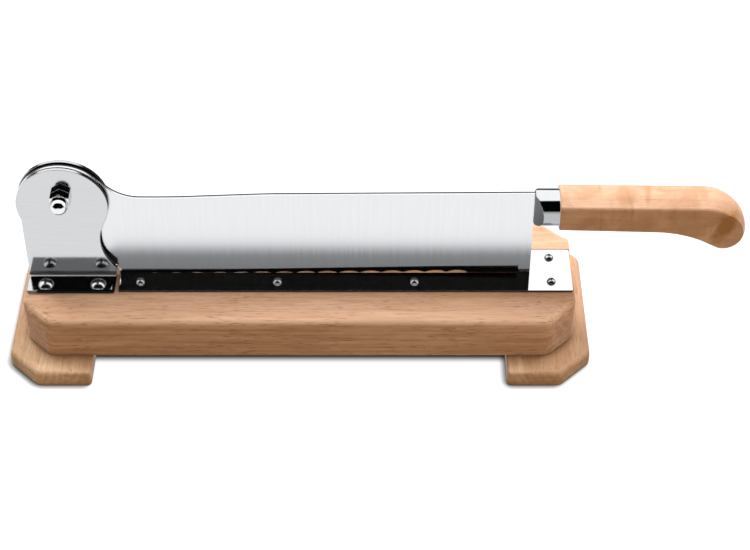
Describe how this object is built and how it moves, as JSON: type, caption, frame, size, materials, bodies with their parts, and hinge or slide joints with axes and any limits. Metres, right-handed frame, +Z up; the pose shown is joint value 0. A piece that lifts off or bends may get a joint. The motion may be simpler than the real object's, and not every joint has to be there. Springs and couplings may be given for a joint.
{
  "type": "lever bread slicer",
  "caption": "Long hinged blade with a scalloped edge and wooden grip that cuts through a slotted steel plate on a footed beech board.",
  "frame": {"origin": "on the table, under the middle of the cutter's overall box; the blade's middle plane is Y = -2.2 mm", "axes": "+X from the hinge to the handle, +Y away from the user, +Z up"},
  "size_m": [0.506, 0.143, 0.1381],
  "materials": {
    "beech_board": "oiled beech, long grain along the board",
    "beech_foot": "oiled beech, long grain across the board",
    "beech_handle": "oiled beech, sanded smooth",
    "polished_plate": "mirror polished stainless sheet",
    "polished_bracket": "polished stainless sheet",
    "blade_steel": "fine satin polished blade steel",
    "polished_ferrule": "polished steel",
    "screw_steel": "stainless screws",
    "plated_nut": "bright plated bolt, nut and washer",
    "plain_steel": "turned steel",
    "bronze": "plain bearing bronze"
  },
  "bodies": {
    "base": {"base_board": "beech_board", "left_foot": "beech_foot", "right_foot": "beech_foot", "left_foot_screws": "screw_steel", "right_foot_screws": "screw_steel", "slot_plate": "polished_plate", "slot_plate_screws": "screw_steel", "front_bracket": "polished_bracket", "rear_bracket": "polished_bracket", "front_bracket_screws": "screw_steel", "rear_bracket_screws": "screw_steel", "pivot_bolt": "plated_nut", "pivot_head_washer": "plated_nut", "pivot_cap_nut": "plated_nut", "pivot_bush": "bronze", "front_spacer_washer": "plain_steel", "rear_spacer_washer": "plain_steel"},
    "blade_arm": {"blade": "blade_steel", "ferrule": "polished_ferrule", "tang": "plain_steel", "handle": "beech_handle"}
  },
  "joints": [
    {"name": "blade_pivot", "type": "hinge", "parent": "base", "child": "blade_arm", "pos_m": [-0.2115, -0.0022, 0.1145], "axis": [0, -1, 0], "range_deg": [0, 85]}
  ]
}
